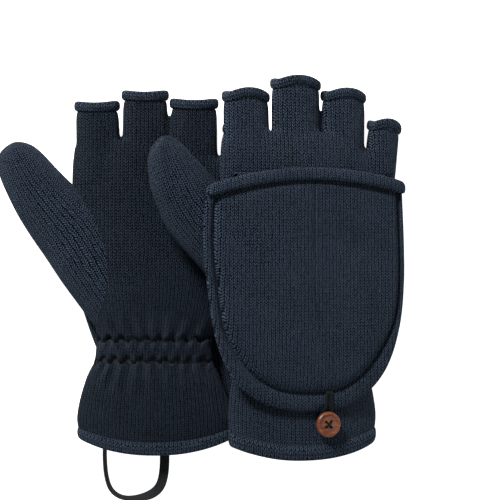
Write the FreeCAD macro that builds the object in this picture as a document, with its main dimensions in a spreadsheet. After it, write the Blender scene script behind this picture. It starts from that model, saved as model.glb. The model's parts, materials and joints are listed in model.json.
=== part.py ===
import FreeCAD, Part
import math
import os

# Convertible flip-top mittens, a pair lying on a table.
# Millimetres, +Z up, +Y towards the fingertips, the middle of the pair's
# knitted pieces at X = Y = 0, the table at Z = 0.
# The left-hand glove lies palm up with its cap folded back underneath.
# The right-hand glove lies back up, one edge on the left-hand glove and the
# other on the table, with its cap folded back on top and looped on its button.
#
# Each glove is drawn in its own frame: Y = 0 at the knuckle line where the
# cap folds, +Y to the fingertips, Z = 0 halfway through the hand.

doc = FreeCAD.newDocument("FlipTopMittens")
V = FreeCAD.Vector
ABOUT_X = V(1, 0, 0)
ABOUT_Y = V(0, 1, 0)
ABOUT_Z = V(0, 0, 1)

# ---------------------------------------------------------------- sizes
SIZES = [
    ("palm_half_w", 52.5, "half width of the hand across the knuckles"),
    ("palm_half_t", 11.0, "half thickness of the hand, fleece and all"),
    ("palm_mid_x", 3.4, "middle of the hand, to the little finger side"),
    ("hand_len", 160.0, "knuckle fold to the cuff hem"),
    ("cuff_half_w", 47.5, "half width of the cuff at its hem"),
    ("cuff_half_t", 12.0, "half thickness of the cuff at its hem"),
    ("cuff_hem_h", 8.0, "height of the turned cuff hem"),
    ("wrist_half_w", 37.0, "half width at the wrist elastic"),
    ("wrist_half_t", 10.5, "half thickness at the wrist elastic"),
    ("wrist_band_h", 13.0, "height of the wrist elastic"),
    ("elastic_t", 0.9, "thickness of the wrist elastic"),
    ("fabric", 2.4, "thickness of the knit with its fleece"),
    ("slit_at", 22.0, "knuckle fold to the foot of the finger slits"),
    ("finger_half_t", 8.3, "half thickness of a finger tube"),
    ("finger_hem_h", 5.0, "height of the turned hem of a finger tube"),
    ("hem_proud", 0.7, "how far a turned hem stands out"),
    ("finger_foot", 11.0, "knuckle fold to where the finger tubes start"),
    ("index_len", 45.0, "length of the index tube with its hem"),
    ("middle_len", 53.0, "length of the middle finger tube with its hem"),
    ("ring_len", 43.5, "length of the ring finger tube with its hem"),
    ("little_len", 25.0, "length of the little finger tube with its hem"),
    ("thumb_len", 97.0, "root inside the hand to the tip of the thumb"),
    ("thumb_root_half_w", 17.0, "half width of the thumb at its root"),
    ("thumb_half_w", 18.5, "half width of the thumb where it leaves the hand"),
    ("thumb_end_half_w", 13.6, "half width of the thumb near its tip"),
    ("thumb_half_t", 9.3, "half thickness of the thumb"),
    ("left_thumb_turn", 33.5, "left thumb, degrees away from the fingers"),
    ("right_thumb_turn", 28.0, "right thumb, degrees away from the fingers"),
    ("seam_up", 0.01, "half the gap at the side seams"),
    ("welt_h", 9.0, "height of the knuckle welt"),
    ("welt_t", 1.0, "how far the knuckle welt stands out"),
    ("slack", 0.7, "gap between pieces that move"),
    ("cap_depth", 7.5, "height of the pocket over its back layer"),
    ("cap_wall", 2.2, "thickness of a cap layer"),
    ("cap_mid_x", -1.0, "middle of the cap"),
    ("cap_hem_h", 7.0, "height of the hem of the cap"),
    ("cord_d", 2.0, "diameter of the elastic cord of a cap loop"),
    ("loop_half_w", 3.4, "half distance between the two strands of a loop"),
    ("button_x", 10.0, "middle of the button, across"),
    ("button_d", 15.3, "diameter of the button"),
    ("button_t", 3.4, "thickness of the button"),
    ("button_rim", 1.7, "width of the raised rim of the button"),
    ("button_dish", 0.9, "depth of the dished middle of the button"),
    ("button_hole_d", 2.0, "diameter of a thread hole"),
    ("button_hole_gap", 3.4, "distance between two thread holes"),
    ("thread_d", 1.2, "diameter of the sewing thread bundle"),
    ("tape_w", 6.0, "width of the hanging tape"),
    ("tape_t", 1.2, "thickness of the hanging tape"),
    ("tape_gap", 33.0, "distance between the ends of the hanging tape"),
    ("tape_drop", 27.0, "how far the hanging tape stands out of the hem"),
    ("tape_x", -12.0, "middle of the hanging tape"),
    ("right_wide", 1.05, "width of the flatter right glove over the left"),
    ("pair_along", 5.0, "right glove nearer the top than the left"),
    ("left_cap_skew", 11.0, "left cap pulled sideways as it lies, degrees"),
    ("tilt", 18.0, "slope of the right glove, degrees"),
]

sheet = doc.addObject("Spreadsheet::Sheet", "sizes")
for row, (name, value, note) in enumerate(SIZES, start=1):
    sheet.set("A%d" % row, name)
    sheet.set("B%d" % row, str(value))
    sheet.setAlias("B%d" % row, name)
    sheet.set("C%d" % row, note)

# Sizes that follow from the ones above. The right glove is as high as it is
# where its thumb side lies on the palm of the left one, right_reach from its middle.
FOLLOW = [
    ("index_x", "=0 - palm_half_w * 0.705"),
    ("middle_x", "=0 - palm_half_w * 0.147"),
    ("ring_x", "=palm_half_w * 0.4"),
    ("little_x", "=palm_half_w * 0.876"),
    ("index_half_w", "=palm_half_w * 0.2514"),
    ("middle_half_w", "=palm_half_w * 0.2667"),
    ("ring_half_w", "=palm_half_w * 0.2438"),
    ("little_half_w", "=palm_half_w * 0.2"),
    ("thumb_root_x", "=0 - palm_half_w * 0.59"),
    ("thumb_root_y", "=0 - hand_len * 0.3625"),
    ("wrist_at", "=hand_len * 0.6406"),
    ("cap_half_w", "=palm_half_w * 1.143"),
    ("cap_len", "=hand_len * 0.847"),
    ("cap_nose", "=cap_len * 0.557"),
    ("button_at", "=cap_len + button_d * 0.686"),
    ("pair_across", "=palm_half_w * (1 + right_wide) * 0.864"),
    ("knuckle_half_t", "=palm_half_t * 0.95"),
    ("cap_floor", "=knuckle_half_t + welt_t + slack"),
    ("cap_seat", "=cap_floor + cap_wall"),
    ("stack", "=cap_seat + cap_depth + 0.8"),
    ("right_reach", "=palm_half_w * right_wide * 0.92"),
    ("right_height", "=stack + palm_half_t + thumb_half_t - right_reach * sin(tilt * 1deg)"),
    ("button_floor", "=cuff_half_t * 0.985 + cord_d + slack"),
]
for row, (name, formula) in enumerate(FOLLOW, start=len(SIZES) + 1):
    sheet.set("A%d" % row, name)
    sheet.set("B%d" % row, formula)
    sheet.setAlias("B%d" % row, name)
# The pair is moved as one so that its box stands on the middle of the table.
ORIGIN = ("origin_x", "origin_y", "origin_z")
for row, name in enumerate(ORIGIN, start=len(SIZES) + len(FOLLOW) + 1):
    sheet.set("A%d" % row, name)
    sheet.set("B%d" % row, "0")
    sheet.setAlias("B%d" % row, name)
doc.recompute()


# ------------------------------------------------------------- helpers
def bound(text):
    """An expression in the names of the sheet."""
    out = []
    word = ""
    for ch in text + " ":
        if ch.isalnum() or ch == "_":
            word += ch
            continue
        if word and word[0].isalpha() and word not in ("sin", "cos", "sqrt", "deg"):
            word = "<<sizes>>." + word
        out.append(word + ch)
        word = ""
    return "".join(out).strip()


def put(obj, x="0", y="0", z="0", axis=None, angle=None):
    """Places an object by expressions in the names of the sheet."""
    if axis is not None:
        turn = FreeCAD.Rotation(axis, 1.0)
        obj.Placement = FreeCAD.Placement(V(0, 0, 0), turn)
        obj.setExpression("Placement.Rotation.Angle", bound("(" + str(angle) + ") * 1deg"))
    obj.setExpression("Placement.Base.x", bound("(" + str(x) + ") * 1mm"))
    obj.setExpression("Placement.Base.y", bound("(" + str(y) + ") * 1mm"))
    obj.setExpression("Placement.Base.z", bound("(" + str(z) + ") * 1mm"))
    return obj


def ring(name, y, half_w, half_t, x="0", z="0"):
    """An upright ellipse across the glove."""
    e = doc.addObject("Part::Ellipse", name)
    e.MajorRadius = 100
    e.setExpression("MinorRadius", bound("(" + half_t + ") * 1mm"))
    e.setExpression("MajorRadius", bound("(" + half_w + ") * 1mm"))
    return put(e, x, y, z, ABOUT_X, 90)


def tube(name, stations, x="0", z="0"):
    """A solid through ellipses at stations (y, half width, half thickness)."""
    rings = []
    for i, st in enumerate(stations):
        sx = st[3] if len(st) > 3 else x
        rings.append(ring("%s_%d" % (name, i), st[0], st[1], st[2], sx, z))
    loft = doc.addObject("Part::Loft", name)
    loft.Sections = rings
    loft.Solid = True
    loft.Ruled = True
    return loft


def cut(name, base, tool):
    c = doc.addObject("Part::Cut", name)
    c.Base = base
    c.Tool = tool
    return c


def common(name, base, tool):
    c = doc.addObject("Part::Common", name)
    c.Base = base
    c.Tool = tool
    return c


def fuse(name, shapes):
    f = doc.addObject("Part::MultiFuse", name)
    f.Shapes = shapes
    return f


def block(name, x, y, z, length, width, height):
    """A box from its low corner."""
    b = doc.addObject("Part::Box", name)
    b.setExpression("Length", bound("(" + length + ") * 1mm"))
    b.setExpression("Width", bound("(" + width + ") * 1mm"))
    b.setExpression("Height", bound("(" + height + ") * 1mm"))
    return put(b, x, y, z)


def disc(name, x, y, z, diameter, height):
    c = doc.addObject("Part::Cylinder", name)
    c.setExpression("Radius", bound("(" + diameter + ") * 0.5mm"))
    c.setExpression("Height", bound("(" + height + ") * 1mm"))
    return put(c, x, y, z)


def copy_of(name, obj):
    """A second use of a shape, for a boolean."""
    m = doc.addObject("Part::Compound", name)
    m.Links = [obj]
    return m


def wider(stations, more):
    """The same stations, larger all round by an expression."""
    out = []
    for st in stations:
        grown = [st[0], "(" + st[1] + ") + " + more, "(" + st[2] + ") + " + more]
        out.append(tuple(grown) + tuple(st[3:]))
    return out


nodes = []


class Glove:
    """One glove. side is +1 when its back is up and -1 when its palm is up."""

    def __init__(self, hand, side, wide):
        self.hand = hand
        self.side = side
        self.wide = wide

    def name(self, piece):
        return self.hand + "_" + piece

    def up(self, expr):
        """A height over the middle of the hand, towards its back."""
        return "(" + expr + ") * " + str(self.side)

    def low(self, expr, height):
        """The low corner of a box of this height that starts at expr."""
        if self.side > 0:
            return "(" + expr + ")"
        return "0 - (" + expr + ") - (" + height + ")"

    def half(self, name, shape, start="seam_up"):
        """The part of a shape on the back side of the glove, past start."""
        b = block(name + "_keep", "0 - 200", "0 - 300", self.low(start, "100"), "400", "500", "100")
        return common(name, shape, b)

    def rest(self, name, shape):
        """The part of a shape on the palm side of the glove."""
        z = "0 - seam_up - 100" if self.side > 0 else "seam_up"
        b = block(name + "_keep", "0 - 200", "0 - 300", z, "400", "500", "100")
        return common(name, shape, b)

    def finish(self, obj, piece, skew=False):
        """Names a finished piece and lays it in the pair."""
        obj.Label = self.name(piece)
        nodes.append(obj)
        self.lay(obj, skew)

    def lay(self, obj, skew):
        if self.side > 0:
            x = "origin_x + pair_across"
            y = "origin_y + pair_along"
            put(obj, x, y, "origin_z + right_height", ABOUT_Y, "tilt")
        elif skew:
            x = "origin_x"
            put(obj, x, "origin_y", "origin_z + stack", ABOUT_Z, "left_cap_skew")
        else:
            put(obj, "origin_x", "origin_y", "origin_z + stack")

    # ------------------------------------------------------ hand, fingers
    def hand_stations(self):
        w = self.wide
        mid = "palm_mid_x"
        lean = "palm_mid_x * 0.4"
        thumb_side = "palm_mid_x * 0.7"
        return [
            ("slit_at", "palm_half_w * " + w, "palm_half_t * 0.92", mid),
            ("welt_h * 0.8", "palm_half_w * " + w, "knuckle_half_t", mid),
            ("0 - welt_h * 0.8", "palm_half_w * " + w, "knuckle_half_t", mid),
            ("0 - hand_len * 0.20", "palm_half_w * 0.98 * " + w, "palm_half_t", thumb_side),
            ("0 - hand_len * 0.38", "palm_half_w * 0.90 * " + w, "palm_half_t", lean),
            ("0 - hand_len * 0.51", "palm_half_w * 0.79 * " + w, "palm_half_t * 0.98", "0"),
            ("0 - wrist_at + wrist_band_h / 2", "wrist_half_w * " + w, "wrist_half_t"),
            ("0 - wrist_at - wrist_band_h / 2", "wrist_half_w * " + w, "wrist_half_t"),
            ("0 - hand_len * 0.78", "cuff_half_w * 0.92 * " + w, "cuff_half_t * 0.96"),
            ("0 - hand_len * 0.90", "cuff_half_w * 0.99 * " + w, "cuff_half_t * 0.985"),
            ("0 - hand_len", "cuff_half_w * " + w, "cuff_half_t"),
        ]

    def finger(self, finger, lean, inner):
        """The outside or the inside of a finger tube, without its hem."""
        half_w = finger + "_half_w * " + self.wide
        half_t = "finger_half_t"
        end = finger + "_len - finger_hem_h"
        start = "0"
        if inner:
            half_w = half_w + " - fabric"
            half_t = half_t + " - fabric"
            end = finger + "_len"
            start = "0 - 4"
        label = self.name(finger + ("_inside" if inner else "_outside"))
        t = tube(label, [(start, half_w, half_t), (end, half_w, half_t)])
        return self.at_finger(t, finger, lean)

    def at_finger(self, obj, finger, lean):
        return put(obj, finger + "_x * " + self.wide, "finger_foot", "0", ABOUT_Z, lean)

    def build_hand(self):
        n = self.name
        outer = self.hand_stations()
        inner = []
        for i, st in enumerate(outer):
            y = st[0]
            if i == 0:
                y = "slit_at - fabric"
            if i == len(outer) - 1:
                y = "0 - hand_len - 1"
            grown = ("(" + st[1] + ") - fabric", "(" + st[2] + ") - fabric")
            inner.append((y,) + grown + tuple(st[3:]))
        hand_out = tube(n("hand_outside"), outer)
        hand_in = tube(n("hand_inside"), inner)
        fingers = (("index", 1.0), ("middle", 0.0), ("ring", -3.0), ("little", -6.0))
        outs = [hand_out]
        ins = [hand_in]
        for finger, lean in fingers:
            outs.append(self.finger(finger, lean, False))
            ins.append(self.finger(finger, lean, True))
        inside = fuse(n("inside"), ins)
        thumb_out, thumb_in = self.thumb_forms()
        for back, panel in ((True, "back_panel"), (False, "palm_panel")):
            halves = []
            for i, form in enumerate(outs):
                piece = copy_of(n("%s_form_%d" % (panel, i)), form)
                split = self.half if back else self.rest
                halves.append(split(n("%s_half_%d" % (panel, i)), piece))
            body = fuse(n(panel + "_body"), halves)
            hollow = cut(n(panel + "_hollow"), body, copy_of(n(panel + "_inside"), inside))
            open_side = cut(n(panel), hollow, copy_of(n(panel + "_thumb"), thumb_out))
            self.finish(open_side, panel)
        # thumb, two panels seamed along its edges
        thumb = cut(n("thumb_shell"), copy_of(n("thumb_form"), thumb_out), thumb_in)
        thumb_open = cut(n("thumb_open"), thumb, copy_of(n("hand_form"), hand_in))
        thumb_back = self.half(n("thumb_back"), thumb_open)
        self.finish(thumb_back, "thumb_back")
        thumb_palm = self.rest(n("thumb_palm"), copy_of(n("thumb_again"), thumb_open))
        self.finish(thumb_palm, "thumb_palm")
        for finger, lean in fingers:
            self.build_finger_hem(finger, lean)

    def thumb_forms(self):
        n = self.name
        turn = self.hand + "_thumb_turn"
        forms = []
        profile = [
            (0.00, "thumb_root_half_w", "thumb_half_t * 0.66"),
            (0.16, "thumb_half_w", "thumb_half_t * 0.86"),
            (0.36, "thumb_half_w * 0.95", "thumb_half_t"),
            (0.62, "thumb_end_half_w * 1.10", "thumb_half_t"),
            (0.85, "thumb_end_half_w", "thumb_half_t * 0.98"),
        ]
        for inner in (False, True):
            less = " - fabric" if inner else ""
            reach = "(thumb_len" + less + ")"
            stations = []
            for share, half_w, half_t in profile:
                stations.append(("thumb_len * %.2f" % share, half_w + less, half_t + less))
            for deg in (25, 45, 62, 76, 86):
                c = "%.4f" % math.cos(math.radians(deg))
                s = "%.4f" % math.sin(math.radians(deg))
                y = "thumb_len * 0.85 + (" + reach + " - thumb_len * 0.85) * " + s
                half_w = "(thumb_end_half_w" + less + ") * " + c
                half_t = "(thumb_half_t * 0.98" + less + ") * " + c
                stations.append((y, half_w, half_t))
            form = tube(n("thumb_inside" if inner else "thumb_outside"), stations)
            put(form, "thumb_root_x * " + self.wide, "thumb_root_y", "0", ABOUT_Z, turn)
            forms.append(form)
        return forms

    def build_finger_hem(self, finger, lean):
        n = self.name
        half_w = finger + "_half_w * " + self.wide
        foot = finger + "_len - finger_hem_h"
        out_w = half_w + " + hem_proud"
        in_w = half_w + " - fabric"
        out_t = "finger_half_t + hem_proud"
        in_t = "finger_half_t - fabric"
        end = finger + "_len"
        past = end + " + 1"
        below = foot + " - 1"
        out = tube(n(finger + "_hem_outside"), [(foot, out_w, out_t), (end, out_w, out_t)])
        hole = tube(n(finger + "_hem_inside"), [(below, in_w, in_t), (past, in_w, in_t)])
        band = cut(n(finger + "_hem_band"), self.at_finger(out, finger, lean), self.at_finger(hole, finger, lean))
        hem = copy_of(n(finger + "_hem"), band)
        self.finish(hem, finger + "_hem")

    # ------------------------------------------------------ cuff and wrist
    def build_cuff(self):
        n = self.name
        half_w = "cuff_half_w * " + self.wide
        foot = "0 - hand_len - cuff_hem_h"
        out_w = half_w + " + hem_proud"
        in_w = half_w + " - fabric"
        out_t = "cuff_half_t + hem_proud"
        in_t = "cuff_half_t - fabric"
        out = tube(n("cuff_outside"), [("0 - hand_len", out_w, out_t), (foot, out_w, out_t)])
        hole = tube(n("cuff_inside"), [("0 - hand_len + 1", in_w, in_t), (foot + " - 1", in_w, in_t)])
        hem = cut(n("cuff_hem"), out, hole)
        self.finish(hem, "cuff_hem")
        # elastic in the wrist channel, against the inner face of the knit
        top = "0 - wrist_at + wrist_band_h / 2"
        end = "0 - wrist_at - wrist_band_h / 2"
        w = "wrist_half_w * " + self.wide + " - fabric"
        t = "wrist_half_t - fabric"
        out = tube(n("elastic_outside"), [(top, w, t), (end, w, t)])
        w = w + " - elastic_t"
        t = t + " - elastic_t"
        hole = tube(n("elastic_inside"), [(top + " + 1", w, t), (end + " - 1", w, t)])
        band = cut(n("wrist_elastic"), out, hole)
        self.finish(band, "wrist_elastic")
        # welt over the knuckles, where the cap is sewn on
        top = "welt_h / 2"
        end = "0 - welt_h / 2"
        w = "palm_half_w * " + self.wide
        t = "knuckle_half_t"
        mid = "palm_mid_x"
        grown = [(top, w + " + welt_t", t + " + welt_t"), (end, w + " + welt_t", t + " + welt_t")]
        out = tube(n("welt_outside"), grown, mid)
        hole = tube(n("welt_inside"), [(top + " + 1", w, t), (end + " - 1", w, t)], mid)
        strip = cut(n("welt_ring"), out, hole)
        upper = self.half(n("knuckle_strip"), strip, "palm_half_t * 0.45")
        thumb = copy_of(n("welt_thumb"), doc.getObject(n("thumb_outside")))
        welt = cut(n("knuckle_welt"), upper, thumb)
        self.finish(welt, "knuckle_welt")

    # ---------------------------------------------------------------- cap
    def cap_stations(self, less):
        """The pocket from its mouth to its tip."""
        half_w = "(cap_half_w * " + self.wide + less + ")"
        depth = "(cap_depth" + less + ")"
        straight = "0 - cap_len + cap_nose"
        out = []
        out.append((straight, half_w, depth))
        for deg in (18, 34, 48, 60, 70, 79, 86):
            c = "%.4f" % (math.cos(math.radians(deg)) ** 0.92)
            s = "%.4f" % math.sin(math.radians(deg))
            y = straight + " - (cap_nose" + less + ") * " + s
            out.append((y, half_w + " * " + c, depth + " * " + c))
        return out

    def build_cap(self):
        n = self.name
        skew = self.side < 0
        mid = "cap_mid_x * " + self.wide
        seat = self.up("cap_seat")
        half_w = "cap_half_w * " + self.wide
        # back layer, a flat D with a rounded end
        plate = tube(n("cap_plan"), self.cap_plan(), mid, self.up("cap_floor + cap_wall / 2"))
        slab_h = "cap_wall"
        keep = block(n("cap_slab"), "0 - 200", "0 - 300", self.low("cap_floor", slab_h), "400", "500", slab_h)
        back = common(n("cap_back"), plate, keep)
        self.finish(back, "cap_back", skew)
        # palm layer, domed over it
        mouth = [("0 - 1", half_w, "cap_depth")]
        inside = [("0", "cap_half_w * " + self.wide + " - cap_wall", "cap_depth - cap_wall")]
        dome = tube(n("cap_dome"), mouth + self.cap_stations(""), mid, seat)
        hollow = tube(n("cap_hollow"), inside + self.cap_stations(" - cap_wall"), mid, seat)
        skin = cut(n("cap_skin"), dome, hollow)
        palm = self.half(n("cap_palm"), skin, "cap_seat")
        self.finish(palm, "cap_palm", skew)
        # turned hem at its mouth
        w = half_w + " + hem_proud"
        t = "cap_depth + hem_proud"
        out = tube(n("cap_hem_outside"), [("0 - 1", w, t), ("cap_hem_h - 1", w, t)], mid, seat)
        w = half_w + " - cap_wall"
        t = "cap_depth - cap_wall"
        hole = tube(n("cap_hem_inside"), [("0 - 2", w, t), ("cap_hem_h", w, t)], mid, seat)
        band = cut(n("cap_hem_ring"), out, hole)
        hem = self.half(n("cap_hem"), band, "cap_seat")
        self.finish(hem, "cap_hem", skew)

    def cap_plan(self):
        """Tall ellipses whose middle slab is the flat back layer."""
        out = [("0", "cap_half_w * " + self.wide, "cap_half_w * " + self.wide + " * 0.9")]
        for st in self.cap_stations(""):
            out.append((st[0], st[1], "(" + st[1] + ") * 0.9"))
        return out

    # ------------------------------------------------------------- button
    def build_button(self):
        n = self.name
        x = "button_x"
        y = "0 - button_at"
        base = self.low("button_floor", "button_t")
        body = disc(n("button_body"), x, y, base, "button_d", "button_t")
        dish_z = self.low("button_floor + button_t - button_dish", "button_dish + 1")
        dish = disc(n("button_dish"), x, y, dish_z, "button_d - 2 * button_rim", "button_dish + 1")
        tools = [dish]
        threads = []
        long_z = self.low("cuff_half_t * 0.985", "cord_d + slack + button_t - button_dish + thread_d * 0.6")
        for i, (sx, sy) in enumerate(((1, 1), (-1, 1), (-1, -1), (1, -1))):
            hx = "%s + %d * button_hole_gap / 2" % (x, sx)
            hy = "%s + %d * button_hole_gap / 2" % (y, sy)
            hole_z = self.low("button_floor - 1", "button_t + 2")
            tools.append(disc(n("button_hole_%d" % i), hx, hy, hole_z, "button_hole_d", "button_t + 2"))
            height = "cord_d + slack + button_t - button_dish + thread_d * 0.6"
            threads.append(disc(n("thread_%d" % i), hx, hy, long_z, "thread_d", height))
        button = cut(n("button"), body, fuse(n("button_tools"), tools))
        self.finish(button, "button")
        # crossed stitches over the dish, and the shank under the button
        over = self.up("button_floor + button_t - button_dish + thread_d * 0.5")
        for i, angle in enumerate((45, -45)):
            bar = doc.addObject("Part::Cylinder", n("stitch_%d" % i))
            bar.setExpression("Radius", bound("thread_d * 0.5mm"))
            bar.setExpression("Height", bound("button_hole_gap * 1.414mm"))
            bar.Placement = FreeCAD.Placement(V(0, 0, 0), FreeCAD.Rotation(ABOUT_Y, 90))
            holder = doc.addObject("Part::Compound", n("stitch_flat_%d" % i))
            holder.Links = [bar]
            start_x = "%s - button_hole_gap / 2" % x
            sign = -1 if angle > 0 else 1
            start_y = "%s + %d * button_hole_gap / 2" % (y, sign)
            threads.append(put(holder, start_x, start_y, over, ABOUT_Z, str(angle)))
        shank_h = "cord_d + slack"
        shank_z = self.low("cuff_half_t * 0.985", shank_h)
        shank_d = "button_hole_gap * 1.414 + thread_d * 0.5"
        threads.append(disc(n("shank"), x, y, shank_z, shank_d, shank_h))
        thread_all = fuse(n("thread_all"), threads)
        hand = copy_of(n("cuff_form"), doc.getObject(n("hand_outside")))
        hold = cut(n("button_thread"), thread_all, hand)
        self.finish(hold, "button_thread")


def route_wire(points):
    """Straight runs joined by tangent arcs."""
    corner_share = 0.45
    edges = []
    last = points[0]
    for i in range(1, len(points) - 1):
        a, b, c = points[i - 1], points[i], points[i + 1]
        d1 = (a - b).normalize()
        d2 = (c - b).normalize()
        half = d1.getAngle(d2) / 2
        run = min((a - b).Length, (c - b).Length) * corner_share
        p1 = b + d1 * run
        p2 = b + d2 * run
        rad = run * math.tan(half)
        mid_dir = (d1 + d2).normalize()
        mid = b + mid_dir * (rad / math.sin(half) - rad)
        if (p1 - last).Length > 1e-4:
            edges.append(Part.makeLine(last, p1))
        edges.append(Part.Arc(p1, mid, p2).toShape())
        last = p2
    edges.append(Part.makeLine(last, points[-1]))
    return Part.Wire(edges)


def size(name):
    return float(sheet.get(name))


def loop_points():
    """Route of a cap loop: out of the rim seam, round the shank, and back."""
    x = size("button_x")
    seat = size("cap_seat")
    tip = -size("cap_len")
    under = size("cuff_half_t") * 0.985 + size("slack") / 2 + size("cord_d") / 2
    half = size("loop_half_w")
    shank = -size("button_at")
    narrow = size("cord_d") * 0.55
    rise = size("cord_d") / 2 + 0.35
    high = seat + size("cap_depth") * 0.49 + rise
    left = [
        V(x - narrow, tip + 9.0, high),
        V(x - narrow, tip - 1.2, seat + rise + 2.1),
        V(x - half, tip - 1.9, under),
        V(x - half - 1.4, shank - 2.0, under),
    ]
    bottom = V(x, shank - 8.6, under)
    right = []
    for p in reversed(left):
        right.append(V(2 * x - p.x, p.y, p.z))
    return left + [bottom] + right


def tape_points():
    """Route of the hanging tape, below the hem of the left cuff."""
    x = size("tape_x")
    half = size("tape_gap") / 2
    foot = -size("hand_len") - size("cuff_hem_h") - 0.1
    drop = size("tape_drop")
    return [
        V(x - half, foot, 0),
        V(x - half * 1.02, foot - drop * 0.55, 0),
        V(x - half * 0.55, foot - drop, 0),
        V(x + half * 0.62, foot - drop * 0.93, 0),
        V(x + half * 1.06, foot - drop * 0.5, 0),
        V(x + half, foot, 0),
    ]


def spare_loop_points():
    """Route of a cap loop that is off its button: out past the tip."""
    x = size("button_x")
    low = -size("cap_floor") - size("cap_wall") / 2
    tip = -size("cap_len") + size("cap_wall") * 0.4
    half = size("loop_half_w") * 1.9
    root = size("loop_half_w") * 0.75
    return [
        V(x - root, tip, low),
        V(x - half, tip - 9.0, low),
        V(x - half * 0.7, tip - 17.0, low),
        V(x + half * 0.7, tip - 17.0, low),
        V(x + half, tip - 9.0, low),
        V(x + root, tip, low),
    ]


def round_cord(name, points, diameter):
    heading = points[1] - points[0]
    profile = Part.Wire([Part.makeCircle(diameter / 2, points[0], heading)])
    obj = doc.addObject("Part::Feature", name)
    obj.Shape = route_wire(points).makePipeShell([profile], True, True)
    return obj


def flat_tape(name, points, width, thickness):
    a = points[0]
    along = (points[1] - points[0]).normalize()
    side = along.cross(ABOUT_Z) * (thickness / 2)
    rise = ABOUT_Z * (width / 2)
    corners = [a + side + rise, a - side + rise, a - side - rise, a + side - rise]
    profile = Part.makePolygon(corners + [corners[0]])
    obj = doc.addObject("Part::Feature", name)
    obj.Shape = route_wire(points).makePipeShell([profile], True, True)
    return obj


# ------------------------------------------------------------ the pair
left = Glove("left", -1, "1.0")
right = Glove("right", 1, "right_wide")
for glove in (left, right):
    glove.build_hand()
    glove.build_cuff()
    glove.build_cap()
    glove.build_button()

left_loop = round_cord("left_loop", spare_loop_points(), size("cord_d"))
left.finish(left_loop, "cap_loop", True)
right_loop = round_cord("right_loop", loop_points(), size("cord_d"))
right.finish(right_loop, "cap_loop")
tape = flat_tape("tape", tape_points(), size("tape_w"), size("tape_t"))
left.finish(tape, "hanging_loop")
doc.recompute()

# Stand the pair on the table, the box of its knitted pieces and buttons
# centred on the origin. The loops of cord and tape hang past it.
box = FreeCAD.BoundBox()
for obj in nodes:
    if obj not in (left_loop, right_loop, tape):
        box.add(obj.Shape.optimalBoundingBox(True, False))
sheet.set("B%d" % (len(SIZES) + len(FOLLOW) + 1), str(round(-box.Center.x, 4)))
sheet.set("B%d" % (len(SIZES) + len(FOLLOW) + 2), str(round(-box.Center.y, 4)))
sheet.set("B%d" % (len(SIZES) + len(FOLLOW) + 3), str(round(-box.ZMin, 4)))
doc.recompute()

# --------------------------------------------------------------- checks
for obj in doc.Objects:
    if "Invalid" in obj.State or "Error" in obj.State:
        raise RuntimeError("%s is %s" % (obj.Name, obj.State))
for obj in nodes:
    if obj.Shape.isNull() or not obj.Shape.isValid():
        raise RuntimeError("%s has no valid shape" % obj.Label)
    if len(obj.Shape.Solids) != 1:
        print("%s has %d solids" % (obj.Label, len(obj.Shape.Solids)))
labels = [obj.Label for obj in nodes]
if len(set(labels)) != len(labels):
    raise RuntimeError("two pieces share a name")

os.makedirs("parts", exist_ok=True)
for obj in nodes:
    obj.Shape.exportStep("parts/%s.step" % obj.Label)
print("%d pieces" % len(nodes))
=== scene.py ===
import json
import math

import bmesh
import bpy
import numpy as np
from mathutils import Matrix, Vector


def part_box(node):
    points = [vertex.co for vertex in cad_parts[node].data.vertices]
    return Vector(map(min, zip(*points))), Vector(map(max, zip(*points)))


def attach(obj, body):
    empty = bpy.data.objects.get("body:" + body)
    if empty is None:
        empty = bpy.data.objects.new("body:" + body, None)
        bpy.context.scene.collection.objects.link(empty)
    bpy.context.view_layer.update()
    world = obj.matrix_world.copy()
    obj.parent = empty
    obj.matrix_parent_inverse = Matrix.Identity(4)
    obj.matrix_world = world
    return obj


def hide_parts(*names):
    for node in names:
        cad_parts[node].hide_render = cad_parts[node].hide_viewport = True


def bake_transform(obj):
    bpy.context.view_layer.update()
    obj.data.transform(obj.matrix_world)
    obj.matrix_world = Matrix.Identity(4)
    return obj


# The looks of a pair of knitted flip-top mittens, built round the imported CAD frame.
# Lengths in the tables below are millimetres in each glove's own frame: x across, y to the
# fingertips from the knuckle fold, h from the middle of the hand towards its back.

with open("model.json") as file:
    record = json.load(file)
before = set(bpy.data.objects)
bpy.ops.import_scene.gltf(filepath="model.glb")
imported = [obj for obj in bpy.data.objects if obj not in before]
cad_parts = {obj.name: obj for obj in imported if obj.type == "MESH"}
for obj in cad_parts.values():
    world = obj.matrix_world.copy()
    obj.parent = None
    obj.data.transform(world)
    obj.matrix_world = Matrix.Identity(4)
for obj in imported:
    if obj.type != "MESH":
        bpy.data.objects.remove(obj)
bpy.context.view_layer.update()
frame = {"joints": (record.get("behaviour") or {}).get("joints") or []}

MM = 0.001
JOINTS = {j["name"]: j for j in frame["joints"]}
STITCH_W = 2.4
STITCH_H = 1.8


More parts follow.
